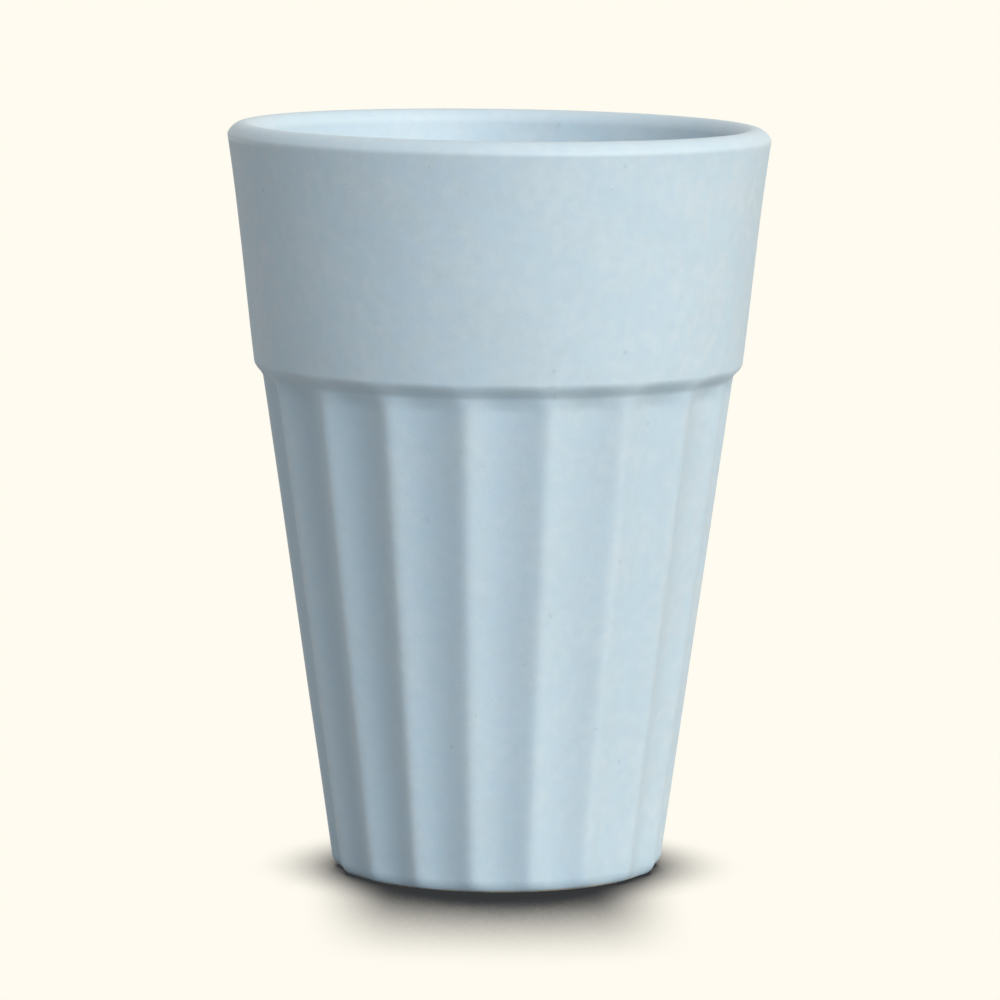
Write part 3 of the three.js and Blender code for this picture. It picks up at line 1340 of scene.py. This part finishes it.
@dataclass(frozen=True)
class PhotoSet:
    """The pale floor, the soft light and the camera.

    Attributes:
        cream: Colour of the floor and backdrop as the camera sees them.
        ambient: Colour of the light from all round.
        ambient_level: Strength of that light.
        bounce: Colour of the floor as it lights the cup.
        floor_size: Width of the floor.
        shadow_colour: Colour of the painted shadow where the cup hides the floor most.
        cast: The painted shadow in front of the cup.
        cast_middle: How far the middle of that shadow lies to the right.
        cast_sides: Distances from its middle at which it starts to fade sideways and at which it ends.
        contact: The close painted shadow all round the foot.
        camera_turn: Degrees that the camera stands to the left of a flute's middle.
        camera_distance: From the cup's axis, along the floor.
        camera_height: Over the floor.
        aim: Point that the camera looks at.
        roll: Turn of the camera about its line of sight, in radians.
        lens: Focal length on the standard sensor.
        lamps: The lamps that light the cup.
    """

    cream: Colour = (1.0, 0.965, 0.871, 1.0)
    ambient: Colour = (0.93, 0.96, 1.0, 1.0)
    ambient_level: float = 0.505
    bounce: Colour = (0.38, 0.38, 0.38, 1.0)
    floor_size: float = 12.0
    shadow_colour: Colour = (0.035, 0.038, 0.040, 1.0)
    cast: SoftShadow = SoftShadow(reach=55 * MM, tilt=72, span=(0.47, 0.91))
    cast_middle: float = -1 * MM
    cast_sides: tuple[float, float] = (12.5 * MM, 25 * MM)
    contact: SoftShadow = SoftShadow(reach=14 * MM, tilt=0, span=(0.30, 0.95))
    camera_turn: float = 1.65
    camera_distance: float = 837 * MM
    camera_height: float = 150.1 * MM
    aim: tuple[float, float, float] = (0.26 * MM, 0.0, 48.0 * MM)
    roll: float = 0.004
    lens: float = 234.4
    lamps: tuple[SoftLamp, ...] = (
        SoftLamp("window_lamp", azimuth=30, elevation=23, strength=1.91, colour=(0.87, 0.95, 1.0)),
        SoftLamp("side_lamp", azimuth=70, elevation=23, strength=0.83, colour=(1.0, 0.83, 0.60)),
    )

    def build(self) -> None:
        """Set the view, and build the floor, the light and the camera."""
        bpy.context.scene.view_settings.view_transform = "Standard"
        self._floor()
        self._world()
        for lamp in self.lamps:
            lamp.build()
        self._camera()

    @staticmethod
    def _graph(owner: Union[bpy.types.Material, bpy.types.World]) -> NodeGraph:
        """Start the node graph of a material or a world from nothing.

        Args:
            owner: The material or the world.

        Returns:
            Its empty graph.
        """
        owner.use_nodes = True
        owner.node_tree.nodes.clear()
        return NodeGraph(owner.node_tree)

    @staticmethod
    def _by_ray(graph: NodeGraph, lit: Term, shown: Term) -> Term:
        """Show one shader to the camera, straight on or through gloss or glass, and light the cup by another.

        Args:
            graph: Graph of the material or the world.
            lit: Shader that lights the cup.
            shown: Shader that the camera sees.

        Returns:
            The shader that does both.
        """
        path = graph.node("ShaderNodeLightPath", {})
        kinds = ("Is Camera Ray", "Is Glossy Ray", "Is Transmission Ray")
        camera, glossy, through = (Term(graph, path.outputs[kind]) for kind in kinds)
        seen = graph.math("MAXIMUM", camera, graph.math("MAXIMUM", glossy, through))
        return graph.term("ShaderNodeMixShader", {0: seen, 1: lit, 2: shown})

    def _floor(self) -> None:
        """Lay the floor, which glows in its own colour to the camera, with the cup's shadow painted into that
        glow.
        """
        half = self.floor_size / 2
        corners = [(-half, -half, 0), (half, -half, 0), (half, half, 0), (-half, half, 0)]
        mesh = bpy.data.meshes.new("floor")
        mesh.from_pydata(corners, [], [(0, 1, 2, 3)])
        floor = bpy.data.objects.new("floor", mesh)
        bpy.context.scene.collection.objects.link(floor)

        material = bpy.data.materials.new("cream_floor")
        graph = self._graph(material)
        # Painted shadow: the floor's glow darkens where the cup hides it, and fades out sideways by the
        # floor's own coordinates.
        across, _, _ = graph.split(graph.term("ShaderNodeTexCoord", {}, "Object"))
        aside = graph.math("ABSOLUTE", across - self.cast_middle)
        cast = self.cast.openness(graph)
        shade = (cast + (1 - cast) * graph.smooth(aside, *self.cast_sides)) * self.contact.openness(graph)
        colour = graph.tint(shade, self.shadow_colour, self.cream)
        shown = graph.term("ShaderNodeEmission", {"Color": colour})
        lit = graph.term("ShaderNodeBsdfDiffuse", {"Color": self.bounce})
        graph.node("ShaderNodeOutputMaterial", {"Surface": self._by_ray(graph, lit, shown)})
        mesh.materials.append(material)

    def _world(self) -> None:
        """Light the cup evenly from all round, and show the backdrop in the floor's colour."""
        world = bpy.data.worlds.new("soft_room")
        graph = self._graph(world)
        room = graph.term("ShaderNodeBackground", {"Color": self.ambient, "Strength": self.ambient_level})
        backdrop = graph.term("ShaderNodeBackground", {"Color": self.cream})
        graph.node("ShaderNodeOutputWorld", {"Surface": self._by_ray(graph, room, backdrop)})
        bpy.context.scene.world = world

    def _camera(self) -> None:
        """Stand the camera where the photograph was taken from."""
        camera = bpy.data.cameras.new("camera")
        camera.lens = self.lens
        holder = bpy.data.objects.new("camera", camera)
        turn_left = math.radians(self.camera_turn)
        aside = -self.camera_distance * math.sin(turn_left)
        holder.location = (aside, -self.camera_distance * math.cos(turn_left), self.camera_height)
        sight = Vector(self.aim) - holder.location
        turn = Quaternion((0.0, 0.0, 1.0), self.roll)
        holder.rotation_mode = "QUATERNION"
        holder.rotation_quaternion = sight.to_track_quat("-Z", "Y") @ turn
        bpy.context.scene.collection.objects.link(holder)
        bpy.context.scene.camera = holder


def main() -> None:
    """Load the frame, build the pieces of the cup in order, and set up the photo."""
    logging.basicConfig(level=logging.INFO, format="%(name)s: %(message)s")
    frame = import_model()
    LOG.info("frame has the nodes %s", ", ".join(sorted(frame["nodes"])))
    form = CupForm.from_frame()
    ware = TurnedWare()
    effects = SurfaceEffects()
    for piece in (ClayBody(form), OuterGlaze(form), LinerGlaze(form), BaseGlaze(form)):
        made = piece.build(ware, effects)
        LOG.info("%s: %d vertices, %d faces", made.name, len(made.data.vertices), len(made.data.polygons))
    PhotoSet().build()


if __name__ == "__main__":
    main()
